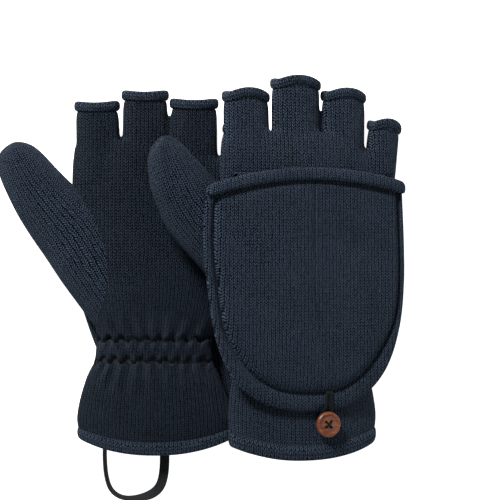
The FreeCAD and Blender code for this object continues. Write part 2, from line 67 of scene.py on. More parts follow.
# ---------------------------------------------------------------- frames
class Glove:
    """The place of one glove: its own frame, in metres, in the pair's frame."""

    def __init__(self, hand, wide):
        self.hand = hand
        self.wide = wide
        self.cuff = 0.985 if hand == "right" else 1.0
        self.nudge = -1.8 if hand == "right" else 1.8
        flip = JOINTS[hand + "_cap_flip"]
        pivot = Vector(flip["pos_m"])
        if hand == "right":
            self.across = -Vector(flip["axis"]).normalized()
            self.back = self.across.cross(Vector((0, 1, 0))).normalized()
        else:
            self.across = Vector((1, 0, 0))
            self.back = Vector((0, 0, -1))
        self.along = Vector((0, 1, 0))
        low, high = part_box("left_cuff_hem")
        fold = (low.z + high.z) / 2 - Vector(JOINTS["left_cap_flip"]["pos_m"]).z
        self.origin = pivot - self.back * fold
        self.skew = 0.0
        if hand == "left":
            mouth = Vector(JOINTS["left_cap_mouth"]["axis"])
            self.skew = math.atan2(-mouth.y, -mouth.x)

    def place(self, points, skew=False):
        """Points in the glove's frame, in millimetres, to the pair's frame, in metres."""
        p = np.array(points, float).reshape(-1, 3)
        x, y = p[:, 0], p[:, 1]
        if skew:
            c, s = math.cos(self.skew), math.sin(self.skew)
            x, y = x * c - y * s, x * s + y * c
        x = x + self.nudge
        out = np.outer(x * MM, self.across) + np.outer(y * MM, self.along)
        out += np.outer(p[:, 2] * MM, self.back)
        return out + np.array(self.origin)


LEFT = Glove("left", 1.0)
RIGHT = Glove("right", 1.05)


# ----------------------------------------------------------------- maths
def smooth(t):
    t = np.clip(t, 0, 1)
    return t * t * (3 - 2 * t)


def through(points, count):
    """count points of a smooth curve through the given ones."""
    p = np.array(points, float)
    ends = np.vstack([2 * p[0] - p[1], p, 2 * p[-1] - p[-2]])
    out = []
    for s in np.linspace(0, len(p) - 1, count):
        i = min(int(s), len(p) - 2)
        t = s - i
        a, b, c, d = ends[i : i + 4]
        bend = (2 * a - 5 * b + 4 * c - d) * t**2
        twist = (3 * b - a - 3 * c + d) * t**3
        out.append(0.5 * (2 * b + (c - a) * t + bend + twist))
    return np.array(out)


def ring_points(half_w, half_t, count, power=2.2):
    """A flattened round section: offsets across and up, and the angle."""
    a = np.linspace(0, 2 * math.pi, count, endpoint=False)
    c, s = np.cos(a), np.sin(a)
    x = half_w * np.sign(c) * np.abs(c) ** (2 / power)
    h = half_t * np.sign(s) * np.abs(s) ** (2 / power)
    return x, h, a


def hash_wave(x, y, seed):
    """A gentle random-looking wave, the same each run."""
    out = np.zeros_like(x)
    rng = np.random.default_rng(seed)
    for _ in range(7):
        kx, ky = rng.normal(0, 0.055, 2)
        out += np.sin(kx * x + ky * y + rng.uniform(0, 6.28))
    return out / 4.0


# ---------------------------------------------------------------- meshes
def shade_smooth(mesh):
    for poly in mesh.polygons:
        poly.use_smooth = True


def new_mesh(name, verts, faces, uv=None):
    mesh = bpy.data.meshes.new(name)
    mesh.from_pydata([tuple(v) for v in verts], [], [tuple(int(i) for i in f) for f in faces])
    mesh.update()
    obj = bpy.data.objects.new(name, mesh)
    bpy.context.scene.collection.objects.link(obj)
    if uv is not None:
        set_uv(mesh, uv)
    shade_smooth(mesh)
    return obj


def set_uv(mesh, uv, period=None):
    """A UV layer counted in stitches. A face that crosses the seam is unwrapped past it."""
    layer = mesh.uv_layers.get("knit") or mesh.uv_layers.new(name="knit")
    loops = np.zeros(len(mesh.loops), int)
    mesh.loops.foreach_get("vertex_index", loops)
    uv = np.array(uv, float)
    flat = uv[loops].copy()
    if period is not None:
        per = np.broadcast_to(np.array(period, float), (len(uv),))[loops]
        for poly in mesh.polygons:
            span = slice(poly.loop_start, poly.loop_start + poly.loop_total)
            u = flat[span, 0]
            if u.max() - u.min() > per[poly.loop_start] * 0.5:
                u[u < u.max() - per[poly.loop_start] * 0.5] += per[poly.loop_start]
                flat[span, 0] = u
    layer.data.foreach_set("uv", (flat / (STITCH_W, STITCH_H)).astype(np.float32).ravel())


def outward(obj):
    bm = bmesh.new()
    bm.from_mesh(obj.data)
    bmesh.ops.recalc_face_normals(bm, faces=bm.faces)
    bm.to_mesh(obj.data)
    bm.free()
    return obj


def apply_modifiers(obj):
    deps = bpy.context.evaluated_depsgraph_get()
    mesh = bpy.data.meshes.new_from_object(obj.evaluated_get(deps))
    obj.modifiers.clear()
    old = obj.data
    obj.data = mesh
    bpy.data.meshes.remove(old)
    return obj


def coords(obj):
    co = np.zeros(len(obj.data.vertices) * 3)
    obj.data.vertices.foreach_get("co", co)
    return co.reshape(-1, 3)


def set_coords(obj, co):
    obj.data.vertices.foreach_set("co", co.astype(np.float32).ravel())
    obj.data.update()


def grid_faces(rows, cols, closed):
    faces = []
    last = cols if closed else cols - 1
    for i in range(rows - 1):
        for j in range(last):
            k = (j + 1) % cols
            faces.append((i * cols + j, i * cols + k, (i + 1) * cols + k, (i + 1) * cols + j))
    return faces


def capped_faces(rows, cols):
    """A closed grid with a face over each of its two ends."""
    faces = grid_faces(rows, cols, True)
    faces.append(tuple(range(cols))[::-1])
    faces.append(tuple((rows - 1) * cols + j for j in range(cols)))
    return faces


def thick_tube(stations, wall, count, top_closed, bend=None):
    """Vertices and faces of a tube with a wall, through (y, x low, x high, half thickness)."""
    outer, inner = [], []
    for y, x0, x1, half_t in stations:
        mid = (x0 + x1) / 2
        half_w = (x1 - x0) / 2
        for ring, less in ((outer, 0.0), (inner, wall)):
            x, h, _ = ring_points(max(half_w - less, 0.3), max(half_t - less, 0.3), count)
            ring.append(np.column_stack([x + mid, np.full(count, y), h]))
    if top_closed:
        inner[0][:, 1] -= wall
    rings = outer + inner[::-1]
    verts = np.vstack(rings)
    n = len(rings)
    if top_closed:
        faces = capped_faces(n, count)
    else:
        faces = grid_faces(n, count, True)
        for j in range(count):
            k = (j + 1) % count
            faces.append(((n - 1) * count + j, (n - 1) * count + k, k, j))
    if bend is not None:
        verts = bend(verts)
    return verts, faces


# ------------------------------------------------------------- the glove
# y, x low, x high, half thickness
HAND = [
    (25.0, -45.0, 52.0, 6.5),
    (22.0, -49.0, 56.2, 8.8),
    (12.0, -50.6, 57.6, 10.2),
    (-4.0, -51.0, 57.4, 10.9),
    (-30.0, -49.0, 55.6, 11.4),
    (-55.0, -44.5, 51.0, 11.3),
    (-73.0, -40.0, 45.0, 10.9),
    (-84.0, -36.8, 40.0, 10.6),
    (-91.0, -35.4, 37.4, 10.4),
    (-98.0, -36.2, 37.0, 10.6),
    (-105.0, -37.6, 38.2, 10.8),
    (-114.0, -42.0, 42.4, 11.4),
    (-130.0, -46.0, 45.8, 11.9),
    (-148.0, -48.0, 47.8, 12.1),
    (-157.0, -47.8, 47.6, 11.6),
    (-163.0, -46.6, 46.4, 10.6),
]
# x low, x high, top, lean in degrees
FINGERS = {
    "left": {
        "index": (-48.2, -21.6, 52.5, 1.0),
        "middle": (-20.3, 7.4, 59.0, 0.0),
        "ring": (8.6, 37.4, 54.0, -0.3),
        "little": (37.8, 56.0, 38.5, -6.0),
    },
    "right": {
        "index": (-49.8, -21.6, 52.5, 1.0),
        "middle": (-20.2, 10.4, 61.0, 0.0),
        "ring": (11.6, 39.2, 54.4, -0.8),
        "little": (40.0, 60.0, 36.6, -6.0),
    },
}
FINGER_FOOT = 4.0
FINGER_T = 8.6
HEM_H = 5.4
KNIT_WALL = 2.2
RIGHT_KNUCKLE_OUT = 3.6
VOXEL = 1.05


def crown(v):
    """The foot of the slits drops towards the little finger, as a hand does."""
    v = v.copy()
    share = smooth((v[:, 1] + 20) / 40)
    v[:, 1] += share * (4.5 - 12.5 * smooth((v[:, 0] - 16) / 24))
    return v


def hem_sag(v, glove):
    """The cuff edge rises towards its two corners. The left cuff is shorter as it lies."""
    v = v.copy()
    if glove.hand == "left":
        v[:, 1] = np.where(v[:, 1] < -112, -112 + (v[:, 1] + 112) * 0.87, v[:, 1])
    share = smooth((-v[:, 1] - 118) / 44)
    v[:, 1] += share * 10.0 * np.abs(v[:, 0] / 48.5) ** 2.2
    return v


def finger_frame(finger, hand):
    x0, x1, top, lean = FINGERS[hand][finger]
    foot = Vector(((x0 + x1) / 2, FINGER_FOOT, 0))
    return foot, (x1 - x0) / 2, top - FINGER_FOOT, math.radians(lean)


def at_finger(v, finger, hand):
    foot, _, _, lean = finger_frame(finger, hand)
    c, s = math.cos(lean), math.sin(lean)
    x, y = v[:, 0], v[:, 1]
    return np.column_stack([foot.x + x * c - y * s, foot.y + x * s + y * c, v[:, 2]])


def arc_across(x, mid, half_w):
    """How far a point is round the hand from the middle of its back."""
    raw = (x - mid) / half_w
    share = np.clip(raw, -1, 1)
    table = np.linspace(-1, 1, 401)
    step = np.sqrt(1 + (0.22 * table / np.sqrt(np.maximum(1 - table**2, 0.004))) ** 2)
    length = np.cumsum(step) * (table[1] - table[0])
    length -= length[200]
    return (np.interp(share, table, length) + (raw - share) * 2) * half_w


def hand_knit(glove):
    """Hand, cuff and open finger tubes in one skin, blended where they meet."""
    name = glove.hand + "_hand_knit"
    tables = np.array(HAND, float)
    stations = through(tables, 90)
    stations[:, 1] *= np.interp(stations[:, 0], (-150, -110), (1.0, glove.wide)) * glove.cuff
    stations[:, 2] *= glove.cuff
    if glove.hand == "right":
        stations[:, 2] += RIGHT_KNUCKLE_OUT * smooth((stations[:, 0] + 25) / 25)
    verts, faces = thick_tube(stations, KNIT_WALL, 120, True, crown)
    parts = [(verts, faces)]
    for finger in FINGERS[glove.hand]:
        _, half_w, length, _ = finger_frame(finger, glove.hand)
        body = []
        for y in np.linspace(0, length - HEM_H + 0.8, 16):
            swell = 1 - 0.02 * smooth(y / length) - 0.05 * smooth((y - length + HEM_H + 4) / 4)
            body.append((y, -half_w * swell, half_w * swell, FINGER_T))
        v, f = thick_tube(body[::-1], KNIT_WALL, 64, False)
        parts.append((at_finger(v, finger, glove.hand), f))
    all_v, all_f, start = [], [], 0
    for v, f in parts:
        all_v.append(v)
        all_f += [tuple(i + start for i in face) for face in f]
        start += len(v)
    obj = outward(new_mesh(name, np.vstack(all_v) * MM, all_f))
    remesh = obj.modifiers.new("voxels", "REMESH")
    remesh.mode = "VOXEL"
    remesh.voxel_size = VOXEL * MM
    remesh.adaptivity = 0.0
    relax = obj.modifiers.new("relax", "SMOOTH")
    relax.factor = 0.5
    relax.iterations = 8
    apply_modifiers(obj)
    p = coords(obj) / MM
    p = shape_hand(p, glove)
    down = np.maximum(-p[:, 1], -8)
    mids = np.interp(down, -stations[:, 0], (stations[:, 1] + stations[:, 2]) / 2)
    half = np.interp(down, -stations[:, 0], (stations[:, 2] - stations[:, 1]) / 2)
    u = arc_across(p[:, 0], mids, half)
    u *= np.interp(half, (30, 37, 50), (1.35, 1.25, 1.0))
    set_coords(obj, glove.place(hem_sag(p, glove)))
    set_uv(obj.data, np.column_stack([u, p[:, 1]]))
    shade_smooth(obj.data)
    return outward(obj)


WRIST_TOP = -91.5
WRIST_END = -104.5
ROW_REACH = 3.6
ROW_WIDTH = 1.5
ROW_DEPTH = 3.0
PLEAT_RISE = 2.0
PLEAT_PITCH = 7.4


def shape_hand(p, glove):
    """Wrist gathers and soft folds."""
    p = p.copy()
    x, y, h = p[:, 0], p[:, 1], p[:, 2]
    if glove.hand == "left":
        # the left wrist is drawn in on the side of the right glove
        drawn = smooth((-y - 76) / 14) * (1 - smooth((-y - 108) / 46))
        x = np.where(x > 0, x * (1 - 0.09 * drawn), x)
    side = np.sign(h)
    flat = 1 - smooth((np.abs(x) / (36 * glove.wide) - 0.75) / 0.35)
    # two rows of stitching pull the knit in, and it puckers between and past them
    for row, phase in ((WRIST_TOP, 0.0), (WRIST_END, math.pi)):
        near = np.exp(-(((y - row) / ROW_REACH) ** 2))
        wob = hash_wave(x * 2.3, y * 0.2, 5 + int(phase)) * 0.9
        pleat = np.cos(2 * math.pi * x / (PLEAT_PITCH + 0.6 * wob) + phase + wob)
        h = h + side * near * pleat * PLEAT_RISE * (0.35 + 0.65 * flat)
        zigzag = np.sin(2 * math.pi * x / PLEAT_PITCH + phase)
        line = np.exp(-(((y - row - 1.3 * zigzag) / ROW_WIDTH) ** 2))
        h = h - side * line * ROW_DEPTH
        x = x + zigzag * near * 0.5 * flat
    # pleats that run on from the elastic into the cuff and the palm
    for start, reach, way in ((WRIST_END, 26.0, -1), (WRIST_TOP, 20.0, 1)):
        away = (y - start) * way
        fade = smooth((away + 2) / 5) * (1 - smooth(away / reach))
        spread = 1 + 0.35 * np.clip(away / reach, 0, 1)
        wave = np.cos(2 * math.pi * x / (8.6 * spread) + hash_wave(x, y, 11) * 1.4)
        h = h + side * wave * fade * 1.45 * flat
    # between the rows the channel stands up
    ridge = np.exp(-(((y - (WRIST_TOP + WRIST_END) / 2) / 4.2) ** 2))
    h = h + side * ridge * 0.9 * flat
    x = x * (1 + 0.012 * ridge)
    # slow folds of the whole hand
    h = h + hash_wave(x, y, 21 if glove.hand == "left" else 22) * 0.55 * smooth((58 - np.abs(y)) / 20)
    return np.column_stack([x, y, h])


def round_hem(name, centre_line, across, up, thick, tall, skin):
    """A turned hem: a rounded band along a closed line. skin places the points."""
    rows = 20
    verts, uv = [], []
    n = len(centre_line)
    run = np.cumsum(np.linalg.norm(np.diff(centre_line, axis=0, append=centre_line[:1]), axis=1))
    for i in range(n):
        for j in range(rows):
            a = 2 * math.pi * j / rows
            c, s = math.cos(a), math.sin(a)
            side = thick * np.sign(c) * abs(c) ** 0.8
            rise = tall * np.sign(s) * abs(s) ** 0.85
            verts.append(centre_line[i] + across[i] * side + up[i] * rise)
            uv.append((run[i], 2.2 * (tall + thick) * j / rows * 1.3))
    faces = []
    for i in range(n):
        k = (i + 1) % n
        for j in range(rows):
            m = (j + 1) % rows
            faces.append((i * rows + j, k * rows + j, k * rows + m, i * rows + m))
    verts = skin(np.array(verts))
    obj = new_mesh(name, verts, faces)
    set_uv(obj.data, uv, run[-1])
    return outward(obj)


def oval(half_w, half_t, y, count, rise=None):
    """A flat ring round a tube, with the directions out of it and along the tube."""
    x, h, _ = ring_points(half_w, half_t, count)
    line = np.column_stack([x, np.full(count, float(y)), h])
    if rise is not None:
        line[:, 1] += rise(x, h)
    ahead = np.roll(line, -1, axis=0) - np.roll(line, 1, axis=0)
    ahead /= np.linalg.norm(ahead, axis=1)[:, None]
    up = np.tile((0.0, 1.0, 0.0), (count, 1))
    up -= ahead * np.sum(up * ahead, axis=1)[:, None]
    up /= np.linalg.norm(up, axis=1)[:, None]
    out = np.cross(ahead, up)
    flip = np.sum(out * (line - line.mean(0)), axis=1) < 0
    out[flip] *= -1
    return line, out, up


def finger_hem(glove, finger):
    _, half_w, length, _ = finger_frame(finger, glove.hand)
    bow = 4.4 if glove.hand == "right" else -1.7
    near = 1 if glove.hand == "right" else -1

    def rise(x, h):
        bulge = 1 - (x / half_w) ** 2
        facing = smooth((h * near / FINGER_T + 1) / 2)
        return bow * (bulge - 0.6) * facing + 0.8 * (1 - facing)

    y = length - HEM_H / 2
    line, out, up = oval(half_w * 0.96 - 0.8, FINGER_T - 0.4, y, 72, rise)

    def skin(v):
        return glove.place(at_finger(v, finger, glove.hand))

    name = "%s_%s_hem_knit" % (glove.hand, finger)
    obj = round_hem(name, line, out, up, 2.0, HEM_H / 2 + 0.3, skin)
    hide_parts("%s_%s_hem" % (glove.hand, finger))
    return obj


def cuff_hem(glove):
    half_w = 48.3 * glove.cuff
    line, out, up = oval(half_w - 2.6, 10.8, -163.4, 140)

    def skin(v):
        return glove.place(hem_sag(v, glove))

    name = glove.hand + "_cuff_hem_knit"
    obj = round_hem(name, line, out, up, 2.2, 4.6, skin)
    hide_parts(glove.hand + "_cuff_hem")
    return obj


# ----------------------------------------------------------------- thumb
# outer edge x, y, inner edge x, y, half thickness
THUMBS = {
    "left": [
        (-37.0, -84.0, -10.0, -62.0, 6.5),
        (-46.0, -72.0, -14.0, -50.0, 8.6),
        (-57.0, -57.0, -21.0, -34.0, 10.2),
        (-67.0, -42.0, -31.0, -17.0, 11.0),
        (-76.0, -29.0, -43.0, -4.0, 11.3),
        (-84.0, -16.0, -53.0, 5.5, 11.3),
        (-90.5, -3.0, -61.5, 14.0, 11.0),
        (-95.0, 8.0, -67.5, 20.5, 10.5),
        (-96.3, 16.5, -72.5, 25.0, 9.6),
        (-95.0, 21.5, -76.0, 27.2, 8.2),
        (-91.5, 25.5, -80.5, 28.6, 5.6),
        (-88.0, 27.9, -84.6, 28.9, 2.0),
    ],
    "right": [
        (-44.0, -78.0, -16.0, -55.0, 6.0),
        (-52.0, -66.0, -23.0, -42.0, 8.2),
        (-62.0, -52.5, -31.0, -28.0, 9.6),
        (-71.0, -42.5, -40.0, -15.0, 10.2),
        (-79.0, -32.5, -48.5, -5.0, 10.4),
        (-85.0, -21.0, -56.0, 3.0, 10.4),
        (-89.5, -8.5, -62.0, 9.5, 10.2),
        (-91.6, 3.0, -67.0, 14.5, 9.8),
        (-91.8, 11.0, -70.5, 18.5, 9.0),
        (-90.0, 17.5, -74.5, 22.0, 7.8),
        (-87.0, 22.0, -78.5, 24.4, 5.4),
        (-84.5, 24.6, -81.8, 25.2, 1.8),
    ],
}


THUMB_ROUND = 96.0


def thumb_knit(glove):
    """A closed thumb, seamed along its outer and inner edges."""
    rows, count = 84, 72
    table = np.array(THUMBS[glove.hand], float)
    table[:, [0, 2]] *= glove.wide
    st = through(table, rows)
    verts, uv = [], []
    run = 0.0
    mid_before = None
    for row in st:
        a = np.array([row[0], row[1]])
        b = np.array([row[2], row[3]])
        mid, half = (a + b) / 2, (b - a) / 2
        if mid_before is not None:
            run += np.linalg.norm(mid - mid_before)
        mid_before = mid
        x, h, ang = ring_points(1.0, 1.0, count, 2.15)
        for xi, hi, an in zip(x, h, ang):
            seam = math.exp(-((math.sin(an) / 0.10) ** 2)) * 0.055
            pt = mid + half * xi * (1 - seam)
            top = max(row[4], 0.2) * hi
            verts.append((pt[0], pt[1], top))
            uv.append((an / (2 * math.pi) * THUMB_ROUND, run * 1.15))
    faces = capped_faces(rows, count)
    verts = np.array(verts)
    wave = hash_wave(verts[:, 0] * 1.6, verts[:, 1] * 1.6, 31)
    verts[:, 2] += wave * 0.5 * np.sign(verts[:, 2]) * np.minimum(1, np.abs(verts[:, 2]) / 6)
    obj = new_mesh(glove.hand + "_thumb_knit", glove.place(verts), faces)
    set_uv(obj.data, uv, THUMB_ROUND)
    outward(obj)
    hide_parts(glove.hand + "_thumb_back", glove.hand + "_thumb_palm")
    return obj


# ------------------------------------------------------------------- cap
CAP_OUTLINE = [
    (-59.5, 8.0),
    (-61.2, -8.0),
    (-61.9, -29.0),
    (-60.4, -55.0),
    (-56.0, -88.0),
    (-50.0, -108.0),
    (-41.0, -124.5),
    (-27.6, -135.6),
    (-12.0, -141.2),
    (6.0, -142.6),
    (20.0, -140.6),
    (31.0, -135.0),
    (40.5, -126.5),
    (48.0, -114.5),
    (53.2, -100.0),
    (57.0, -82.0),
    (58.6, -60.0),
    (58.6, -40.0),
    (58.0, -18.0),
    (57.4, -4.0),
    (57.0, 8.0),
]
CAP_HEM_H = 7.0
CAP_FLOOR = 12.15
SEAM_H = 14.6
DOME_RISE = 5.3
DOME_EDGE = 6.5
DOME_CREST = 1.5
RIM_H = 15.6
RIM_RISE = 2.15
CAP_WALL = 1.6
STRAP_WALL = 0.9
BUTTON_XY = (10.0, -146.0)


def cap_outline(glove, count):
    """The edge of the cap, with its tip drawn back a little."""
    line = through(CAP_OUTLINE, count)
    line[:, 1] = np.where(line[:, 1] < -100, -100 + (line[:, 1] + 100) * 0.9, line[:, 1])
    line[:, 0] *= glove.wide
    line[:, 0] -= 2.4 if glove.hand == "right" else 0.0
    return line


def cap_spine(line):
    """Where each outline point meets the middle of the cap."""
    x = line[:, 0] * 0.0 + 2.0 * smooth((-line[:, 1] - 60) / 70)
    deep = np.maximum(-line[:, 1] - 55, 0)
    y = np.where(deep > 0, -55 - 45 * (1 - np.exp(-deep / 60)), line[:, 1])
    return np.column_stack([x, y])


def arch(x, y, glove):
    """The mouth of the cap bows towards the fingers."""
    share = smooth((y + 70) / 70)
    drop = np.where(x < 0, 10.5 * (x / (61 * glove.wide)) ** 2, 8.5 * (x / (58 * glove.wide)) ** 2)
    return share * (0.5 - drop)


def press(x, y, h, glove):
    """The rim is held down by the button, and lies lower at the tip."""
    low = smooth((-y - 112) / 26)
    h = h - low * np.maximum(h - 12.0, 0) * 0.24
    if glove.hand == "left":
        return h
    d = np.hypot(x - BUTTON_XY[0], y - BUTTON_XY[1])
    near = 1 - smooth((d - 7.8) / 5.0)
    return h - near * np.maximum(h - 13.7, 0)


def rim_width(line):
    """How far the seam lies inside the edge: wider round the tip."""
    right = smooth((line[:, 0] - 30) / 20) * (1 - smooth((-line[:, 1] - 70) / 40))
    return 6.4 + 4.8 * smooth((-line[:, 1] - 84) / 46) - 3.0 * right


def cap_layer(glove, profile, count, mouth_y):
    """A layer of the cap. profile(d, rim, reach) gives its height d inside the edge."""
    line = cap_outline(glove, count)
    spine = cap_spine(line)
    rim = rim_width(line)
    reach = np.linalg.norm(spine - line, axis=1)
    verts = []
    for i in range(count):
        for d, h in profile(rim[i], reach[i]):
            share = d / reach[i]
            q = line[i] * (1 - share) + spine[i] * share
            verts.append((q[0], min(q[1], mouth_y), h))
    v = np.array(verts)
    # the palm layer dips where its hem crosses it
    v[:, 2] -= 1.5 * smooth((v[:, 1] + 5.5) / 3.5) * smooth((v[:, 2] - 17.0) / 1.5)
    v[:, 1] += arch(v[:, 0], v[:, 1], glove)
    v[:, 2] = press(v[:, 0], v[:, 1], v[:, 2], glove)
    return v, len(profile(rim[0], reach[0]))


def cap_dome(d, rim, reach):
    """Height of the palm layer, over its seam."""
    t = np.clip((d - rim) / DOME_EDGE, 0, 1)
    up = np.sqrt(1 - (1 - t) ** 2)
    crest = DOME_CREST * smooth((d - rim) / max(reach - rim, 1))
    return SEAM_H + DOME_RISE * up + crest


def cap_palm(glove):
    """The palm layer of the cap, from its seam to the middle, up to its hem."""

    def profile(rim, reach):
        out = []
        for t in np.linspace(0, 1, 34) ** 1.35:
            d = rim - 0.4 + (reach - rim + 0.4) * t
            out.append((d, cap_dome(d, rim, reach)))
        return out

    return cap_skin(glove, "cap_palm", profile)


def cap_back(glove):
    """The back layer, wrapped up over the edge as a rim."""

    def profile(rim, reach):
        out = []
        for t in np.linspace(1, 0, 14):
            d = rim + 1.5 + (reach - rim - 1.5) * t
            out.append((d, 14.0))
        out.append((rim + 0.6, SEAM_H))
        for t in np.linspace(0, 1, 10):
            a = math.pi * (0.12 + 0.88 * t)
            d = (rim - 1.5) * (0.5 + 0.5 * math.cos(a))
            out.append((d, RIM_H + RIM_RISE * math.sin(a) ** 0.8))
        for t in np.linspace(0.15, 1, 8):
            a = math.pi / 2 * t
            out.append((3.8 * (1 - math.cos(a)), RIM_H - 3.7 * math.sin(a)))
        for t in np.linspace(0.08, 1, 12):
            d = 3.8 + (reach - 3.8) * t
            out.append((d, CAP_FLOOR + 0.05))
        return out

    return cap_skin(glove, "cap_back", profile)


def cap_skin(glove, layer, profile):
    count = 150
    mouth = 0.6 if layer == "cap_palm" else 2.0
    v, depth = cap_layer(glove, profile, count, mouth)
    wave = hash_wave(v[:, 0], v[:, 1], 41) * 0.4
    if layer == "cap_palm":
        v[:, 2] += wave * smooth((v[:, 2] - 16.8) / 2)
    faces = grid_faces(count, depth, False)
    shift = (v[:, 2] - 12.0) * np.clip(v[:, 0] / 45, -1, 1) * 0.35
    uv = np.column_stack([v[:, 0] + shift, v[:, 1]])
    obj = new_mesh("%s_%s_knit" % (glove.hand, layer), glove.place(v, True), faces)
    set_uv(obj.data, uv)
    bm = bmesh.new()
    bm.from_mesh(obj.data)
    bmesh.ops.remove_doubles(bm, verts=bm.verts, dist=0.00005)
    bmesh.ops.recalc_face_normals(bm, faces=bm.faces)
    bm.to_mesh(obj.data)
    bm.free()
    if layer == "cap_palm":
        thicken(obj, glove, CAP_WALL)
    else:
        close_mouth(obj)
    shade_smooth(obj.data)
    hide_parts(glove.hand + "_" + layer)
    return obj


def thicken(obj, glove, wall):
    """Gives a sheet its thickness, on the side away from the glove's outside."""
    normal = np.zeros(3)
    for poly in obj.data.polygons:
        normal += np.array(poly.normal) * poly.area
    inward = -1.0 if normal @ np.array(glove.back) > 0 else 1.0
    solid = obj.modifiers.new("wall", "SOLIDIFY")
    solid.thickness = wall * MM
    solid.offset = inward
    apply_modifiers(obj)


def close_mouth(obj):
    bm = bmesh.new()
    bm.from_mesh(obj.data)
    edges = [e for e in bm.edges if e.is_boundary]
    bmesh.ops.holes_fill(bm, edges=edges, sides=0)
    bmesh.ops.triangulate(bm, faces=[f for f in bm.faces if len(f.verts) > 4])
    bmesh.ops.recalc_face_normals(bm, faces=bm.faces)
    bm.to_mesh(obj.data)
    bm.free()


def cap_hem(glove):
    """The turned hem at the mouth of the palm layer, its ends tucked over the rim."""
    n = 110
    x = np.linspace(-60.6, 59.4, n) * glove.wide - (2.4 if glove.hand == "right" else 0.0)
    t = np.linspace(-1, 1, n)
    end = np.sqrt(np.maximum(1 - t**2, 0))
    h = 15.2 + 5.6 * np.minimum(1, end * 1.9) ** 0.8 + 0.6 * (1 - t**2)
    y = np.full(n, 2.6)
    y = y + arch(x, y, glove)
    rows = 22
    verts, uv = [], []
    past = np.clip((np.abs(t) - 0.93) / 0.07, 0, 1)
    taper = np.sqrt(np.maximum(1 - past**2, 0.02))
    for i in range(n):
        tall = (CAP_HEM_H / 2 + 0.3) * taper[i]
        thick = 2.3 * taper[i]
        for j in range(rows):
            a = 2 * math.pi * j / rows
            c, s = math.cos(a), math.sin(a)
            dy = tall * np.sign(s) * abs(s) ** 0.85
            dh = thick * np.sign(c) * abs(c) ** 0.8
            verts.append((x[i], y[i] + dy, h[i] + dh))
            uv.append((x[i], dy * 1.2 + (3 if c < 0 else 0)))
    faces = capped_faces(n, rows)
    obj = new_mesh(glove.hand + "_cap_hem_knit", glove.place(np.array(verts), True), faces)
    set_uv(obj.data, uv)
    outward(obj)
    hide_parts(glove.hand + "_cap_hem")
    return obj


def knuckle_welt(glove):
    """The doubled band over the knuckles that the cap is sewn to."""
    n, rows = 80, 18
    t = np.linspace(-1, 1, n)
    x = 2.0 + 47.5 * t
    h = 10.9 * np.sqrt(np.maximum(1 - (0.93 * t) ** 2, 0)) ** 0.9
    verts, uv = [], []
    for i in range(n):
        for j in range(rows):
            a = 2 * math.pi * j / rows
            c, s = math.cos(a), math.sin(a)
            dy = 4.4 * np.sign(s) * abs(s) ** 0.8
            dh = 1.0 * np.sign(c) * abs(c) ** 0.8
            verts.append((x[i], dy - 1.0, h[i] + dh))
            uv.append((x[i], dy))
    faces = capped_faces(n, rows)
    obj = new_mesh(glove.hand + "_knuckle_welt_knit", glove.place(np.array(verts)), faces)
    set_uv(obj.data, uv)
    outward(obj)
    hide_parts(glove.hand + "_knuckle_welt")
    return obj


def knuckle_strap(glove):
    """The fold of knit between the welt and the back layer of the cap."""
    n, rows = 70, 14
    t = np.linspace(-1, 1, n)
    x = 1.0 + 47.0 * t
    base = 10.4 * np.sqrt(np.maximum(1 - (0.93 * t) ** 2, 0)) ** 0.9
    verts, uv = [], []
    for i in range(n):
        foot = [(-3.0, base[i] + 0.4), (2.0, base[i] + 0.9)]
        path = through(foot + [(3.4, 12.2), (1.6, 13.4), (-4.0, 13.4)], rows)
        for j, (y, h) in enumerate(path):
            verts.append((x[i], y, h))
            uv.append((x[i], 1.3 * j))
    obj = new_mesh(glove.hand + "_knuckle_strap", glove.place(verts), grid_faces(n, rows, False), uv)
    solid = obj.modifiers.new("wall", "SOLIDIFY")
    solid.thickness = STRAP_WALL * MM
    solid.offset = 0
    apply_modifiers(obj)
    return outward(obj)


# ---------------------------------------------------------- small pieces
def tube_mesh(name, path, radius, sides=12):
    """A round tube along points in metres."""
    p = np.array(path, float)
    ahead = np.gradient(p, axis=0)
    ahead /= np.linalg.norm(ahead, axis=1)[:, None]
    ref = np.array([0.13, 0.21, 0.97])
    verts = []
    for i in range(len(p)):
        side = np.cross(ahead[i], ref)
        side /= np.linalg.norm(side)
        up = np.cross(side, ahead[i])
        for j in range(sides):
            a = 2 * math.pi * j / sides
            verts.append(p[i] + radius * (side * math.cos(a) + up * math.sin(a)))
    faces = capped_faces(len(p), sides)
    return outward(new_mesh(name, verts, faces))


def join(name, objs):
    """One object from several."""
    bm = bmesh.new()
    for obj in objs:
        bm.from_mesh(obj.data)
    mesh = bpy.data.meshes.new(name)
    bm.to_mesh(mesh)
    bm.free()
    for obj in objs:
        bpy.data.objects.remove(obj, do_unlink=True)
    out = bpy.data.objects.new(name, mesh)
    bpy.context.scene.collection.objects.link(out)
    shade_smooth(mesh)
    return out


BUTTON_T = 3.4
HOLE_AT = 1.6
HOLE_R = 0.9


def button_frame(glove):
    """The middle of the underside of the button, in the glove's frame."""
    low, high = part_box(glove.hand + "_button")
    mid = (low + high) / 2
    local = mid - glove.origin
    return np.array([local.dot(glove.across), local.dot(glove.along), local.dot(glove.back)]) / MM


